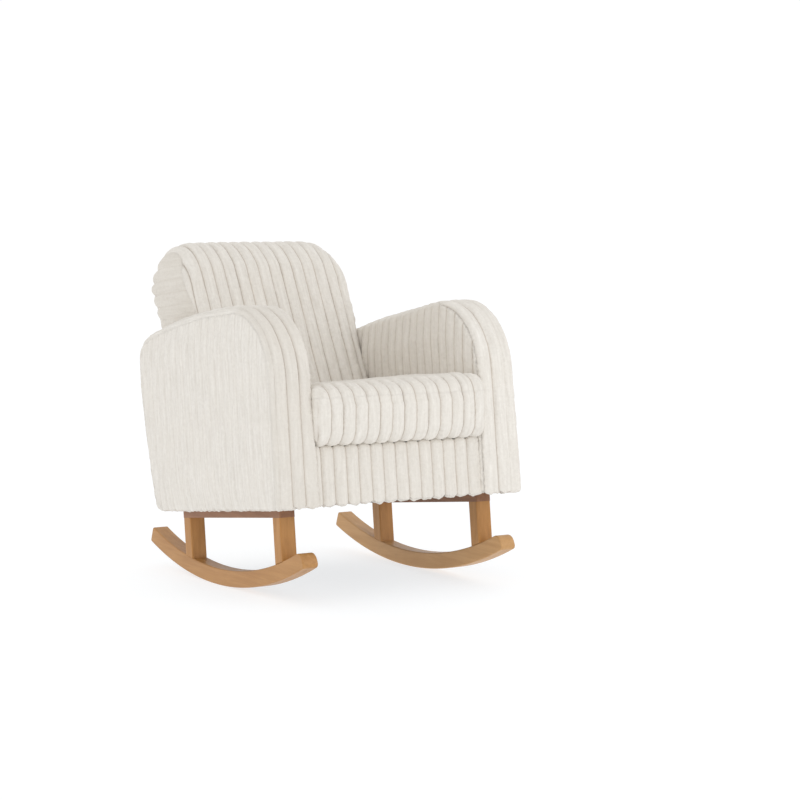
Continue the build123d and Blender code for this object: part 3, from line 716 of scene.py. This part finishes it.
def back():
    low, high = level_box("back_cover")
    arm_top = level_box("arm_cover_left")[1][2]
    outline = grown(side_outline("back_cover"), 2.5 * MM, 2.5 * MM)
    half, rear, top = high

    def rim(y, z):
        at_top = ramp_at(z, top - 110 * MM, top - 10 * MM)
        at_front = 1 - ramp_at(y, rear - 120 * MM, rear - 50 * MM)
        return 14 * MM + (34 + 12 * at_front) * MM * at_top

    def hold(points):
        return points[:, 2] < low[2] + 12 * MM

    def swell(points, moved):
        above_arms = ramp(points[:, 2], arm_top - 90 * MM, arm_top + 20 * MM)
        moved[:, 0] += points[:, 0] * (above_arms * BACK_SWELL / half)

    obj = rounded_form("back_plush", outline, -half, half, rim)
    points = stuffed(obj, pressure=2.0, cap=5 * MM, hold=hold, reshape=swell)
    from_middle = np.abs(points[:, 0])
    corner = ramp(from_middle, half - 90 * MM, half) * ramp(points[:, 2], top - 120 * MM, top)
    points[:, 2] -= corner * np.where(points[:, 0] > 0, BACK_DROOP["right"], BACK_DROOP["left"])
    set_coordinates(obj.data, points)
    depth, along = edge_distance(points[:, 1:], outline)
    wandering = drift(points, seed=4, amount=0.035)
    front_count = (points[:, 0] - 5 * MM) / BACK_RIB + wandering
    side_count = (top - 92 * MM - points[:, 2]) / BACK_RIB + wandering

    # The gusset's ribs run right round the rear edge, and there they stand out as scallops.
    seam_depth = 8 * MM + 18 * MM * ramp(points[:, 2], arm_top - 20 * MM, top - 60 * MM)
    at_side = ramp(from_middle, half - 30 * MM, half - 20 * MM)
    behind = ramp(nearest_normals(outline, along)[:, 0], -0.35, -0.75)
    on_side = np.maximum(ramp(depth - seam_depth, -2 * MM, 2 * MM), behind) * at_side
    at_rear = behind * (1 - ramp(depth, 15 * MM, 70 * MM))
    gusset = 1 - (1 - roll(side_count, 2.0, 0.8)) * (0.15 + 0.75 * at_rear)
    seam = line_at(depth - seam_depth, 3 * MM) * at_side * (1 - behind)
    height = roll(front_count, 2.5) * (1 - on_side) + gusset * on_side - 0.14 * seam
    count = np.where(on_side > 0.5, side_count, front_count)
    along_rib = np.where(on_side > 0.5, points[:, 1], along)
    # Painted shade: the gusset's pile is darkened, and so are the clefts and the seam.
    plush(obj, height, count, along_rib, 1 - 0.85 * on_side, 0.03 * seam, 0.45 * on_side)
    place(obj, "chair", ["back_cover", "back_padding"], PLUSH)


# ------------------------------------------------------------------ flat pads
PAD_VOXEL = VOXEL * 0.75
PAD_RIM = 2 * MM
PAD_FIRST_CLEFT = 201 * MM  # from the chair's middle to the leftmost cleft


def flat_pad(name, nodes, spread, rise, pile_painted_shade):
    """Upholstered board whose ribs run up and down: the front panel and the outside back.

    spread is how much wider it is than its board at each side, and rise how much higher at the top."""
    low, high = level_box(nodes[0])
    half, _, top = high
    outline = side_outline(nodes[0])
    outline[:, 1] += rise * ramp(outline[:, 1], top - 8 * MM, top - 1 * MM)
    obj = rounded_form(name, outline, low[0] - spread, half + spread, lambda y, z: PAD_RIM)
    remeshed(obj, PAD_VOXEL)
    subdivided(obj)
    points = coordinates(obj.data)
    _, along = edge_distance(points[:, 1:], outline)
    from_middle = np.abs(points[:, 0])
    count = (points[:, 0] + PAD_FIRST_CLEFT) / RIB + drift(points, seed=5, amount=0.03)
    at_ends = ramp(from_middle, half - 6 * MM, half)
    height = roll(count, 2.1) * (1 - at_ends) + 0.8 * at_ends
    top_corners = ramp(from_middle, half - 25 * MM, half) * ramp(points[:, 2], top - 15 * MM, top)
    points[:, 2] += rise * top_corners
    hang_hem(obj, points, low[2], True)
    # Painted shade: the clefts are darkened, and the whole pad by the last argument.
    plush(obj, height, count, along, 0.9 * (1 - at_ends), 0, pile_painted_shade)
    place(obj, "chair", nodes, PLUSH)


# ------------------------------------------------------------------ seat cushion
CUSHION_RIB = 31.57 * MM
CUSHION_SWELL = 9 * MM      # how far the cushion's front swells round the arms
CUSHION_SINK = 4 * MM       # how far its top sinks behind the front edge
CREST_SINK = 10 * MM        # how far its top has been sat down in the middle,
CREST_TILT = 6.5 * MM       # how much more at the left end and less at the right,
CREST_CROWN = 3.5 * MM      # and how much less at both ends


def cushion():
    low, high = level_box("seat_cushion_cover")
    front, bottom = low[1:]
    half, _, top = high
    arm_front = level_box("arm_cover_left")[0][1]
    outline = side_outline("seat_cushion_cover")
    outline = eased(outline, 32 * MM, lambda y, z: (y < front + 120 * MM) & (z > bottom + 60 * MM))
    outline = eased(outline, 8 * MM, lambda y, z: (y < front + 60 * MM) & (z < bottom + 40 * MM))

    def rim(y, z):
        return 9 * MM + 3 * MM * ramp_at(y, arm_front, arm_front + 40 * MM)

    def hold(points):
        return points[:, 2] < bottom + 1 * MM

    def settle(points, moved):
        moved[:, 0] = np.clip(moved[:, 0], -1 * MM, 1 * MM)
        before_arms = 1 - ramp(points[:, 1], arm_front - 3 * MM, arm_front + 11 * MM)
        moved[:, 0] += points[:, 0] * (before_arms * CUSHION_SWELL / half)
        behind_crest = ramp(points[:, 1], front + 30 * MM, front + 110 * MM)
        moved[:, 2] -= CUSHION_SINK * behind_crest * ramp(points[:, 2], bottom + 90 * MM, top)
        across = points[:, 0] / half
        crest_sink = CREST_SINK - CREST_TILT * across - CREST_CROWN * across**2
        moved[:, 2] -= crest_sink * ramp(points[:, 2], bottom + 60 * MM, top)

    obj = rounded_form("seat_cushion_plush", outline, -half, half, rim)
    points = stuffed(obj, pressure=2.5, cap=4 * MM, hold=hold, reshape=settle)
    depth, along = edge_distance(points[:, 1:], outline)
    count = points[:, 0] / CUSHION_RIB + drift(points, seed=6, amount=0.03)
    at_side = ramp(np.abs(points[:, 0]), half - 12 * MM, half - 6 * MM)
    side_seam = line_at(depth - 9 * MM, 3 * MM) * at_side
    rib_ends = 1 - ramp(points[:, 2], bottom + 2 * MM, bottom + 22 * MM)
    height = roll(count, 2.2) * (1 - rib_ends) + roll(count, 1.7) * rib_ends
    # The sides are plain: no rib turns round the seam.
    plain = at_side * ramp(depth, 4 * MM, 9 * MM)
    height = height * (1 - plain) + plain - 0.3 * side_seam
    # Painted shade: the clefts and the side seams are darkened, and a little the whole cushion.
    plush(obj, height, count, along, 1 - plain, 0.1 * side_seam, 0.05)
    place(obj, "cushion", ["seat_cushion_cover", "seat_cushion_core"], PLUSH)


# ------------------------------------------------------------------ sheets
SHEET_COLUMNS = 72
SHEET_ROWS = 60
SHEET_THICKNESS = 0.8 * MM
SPRING_PITCH = 75 * MM


def stretched_cloth(name, node, sag):
    """A sheet of lining drawn tight over the frame; sag(points) is how far it hangs down at each point."""
    low, high = level_box(node)
    level = (low[2] + high[2]) / 2
    spots = []
    for y in np.linspace(low[1], high[1], SHEET_ROWS + 1):
        for x in np.linspace(low[0], high[0], SHEET_COLUMNS + 1):
            spots.append((x, y, level))
    points = np.array(spots)
    inset = np.minimum(points[:, :2] - low[:2], high[:2] - points[:, :2]).min(1)
    creases = noise_at(points * [1, 0.35, 1], 45 * MM, seed=12) * 0.6 * MM
    points[:, 2] -= (sag(points) + np.abs(creases)) * ramp(inset, 0, 40 * MM)
    faces = []
    for row in range(SHEET_ROWS):
        for column in range(SHEET_COLUMNS):
            corner = row * (SHEET_COLUMNS + 1) + column
            above = corner + SHEET_COLUMNS + 1
            faces.append((corner, corner + 1, above + 1, above))
    obj = mesh_object(name, points, faces)
    thickness = obj.modifiers.new("thickness", "SOLIDIFY")
    thickness.thickness = SHEET_THICKNESS
    thickness.offset = 0
    baked(obj)
    smooth_shading(obj.data)
    place(obj, "chair", [node], LINING)


def deck_sag(points):
    """The deck cloth lies on the springs and hangs a little between them."""
    between_springs = (1 - np.cos(2 * math.pi * points[:, 0] / SPRING_PITCH)) / 2
    return 1.2 * MM + 2.5 * MM * between_springs


def dust_sag(points):
    """The dust cover is held up by the base rails and hangs between them."""
    rail_inner = level_box("base_rail_right")[0][0]
    across = np.clip(1 - (points[:, 0] / rail_inner) ** 2, 0, 1)
    low, high = level_box("dust_cover")
    middle = (low[1] + high[1]) / 2
    lengthways = np.clip(1 - ((points[:, 1] - middle) / (high[1] - middle)) ** 2, 0, 1)
    return 7 * MM * across * np.sqrt(lengthways)


FRONT_PANEL = ["front_panel_cover", "front_panel_padding"]
arm("right")
arm("left")
back()
# The front panel's pile carries painted shade.
flat_pad("front_panel_plush", FRONT_PANEL, spread=2 * MM, rise=3.5 * MM, pile_painted_shade=0.2)
flat_pad("rear_panel_plush", ["rear_panel"], spread=0, rise=0, pile_painted_shade=0)
cushion()
stretched_cloth("deck_cloth_sheet", "deck_cloth", deck_sag)
stretched_cloth("dust_cover_sheet", "dust_cover", dust_sag)


# ------------------------------------------------------------------ studio
FLOOR_HALF = 12.0
FLOOR_GLOW = 0.72
CEILING = 0.88
WALLS = 1.02


def floor():
    corners = [(-1, -1, 0), (1, -1, 0), (1, 1, 0), (-1, 1, 0)]
    obj = mesh_object("floor", np.array(corners) * FLOOR_HALF, [(0, 1, 2, 3)])
    material, tree, shader = new_material("studio_floor")
    mottle = noise_texture(tree, object_place(tree), scale=1.5)
    finish_shader(
        tree,
        shader,
        Base_Color=colour_ramp(tree, mottle, [(0.3, 0.31), (0.7, 0.33)]),
        Roughness=0.9,
        Emission_Color=(0.97, 0.985, 1.0, 1),
        Emission_Strength=FLOOR_GLOW,
    )
    obj.data.materials.append(material)


def area_light(name, location, size, power):
    """A square lamp that faces the middle of the chair."""
    data = bpy.data.lights.new(name, "AREA")
    data.shape = "SQUARE"
    data.size = size
    data.energy = power
    lamp = link(bpy.data.objects.new(name, data))
    lamp.location = location
    towards = Vector((0, 0, 0.4)) - Vector(location)
    lamp.rotation_euler = towards.to_track_quat("-Z", "Y").to_euler()


def white_surround():
    """White walls all round, with a dimmer ceiling."""
    world = bpy.data.worlds.new("studio")
    bpy.context.scene.world = world
    world.use_nodes = True
    tree = world.node_tree
    ray = add(tree, "ShaderNodeTexCoord").outputs["Generated"]
    height = add(tree, "ShaderNodeSeparateXYZ", {"Vector": ray}).outputs["Z"]
    shade = colour_ramp(tree, height, [(0.12, WALLS), (0.30, CEILING)])
    background = tree.nodes["Background"]
    tree.links.new(shade, background.inputs["Color"])
    background.inputs["Strength"].default_value = 1.0


def studio():
    floor()
    white_surround()
    area_light("key", (-3.2, -1.6, 1.9), 1.6, 7)
    area_light("fill", (0.95, -2.0, 1.1), 1.0, 5)
    settings = bpy.context.scene.view_settings
    settings.view_transform = "Standard"
    settings.look = "None"


CAMERA_PLACE = (-2.8065, -4.8274, 0.8889)
CAMERA_YAW = 32.22
CAMERA_PITCH = 4.878
CAMERA_LENS = 106.55


def camera():
    data = bpy.data.cameras.new("camera")
    data.lens = CAMERA_LENS
    data.sensor_width = 36
    data.clip_end = 60
    obj = link(bpy.data.objects.new("camera", data))
    obj.location = CAMERA_PLACE
    obj.rotation_euler = (math.radians(90 - CAMERA_PITCH), 0, math.radians(-CAMERA_YAW))
    bpy.context.scene.camera = obj


studio()
camera()
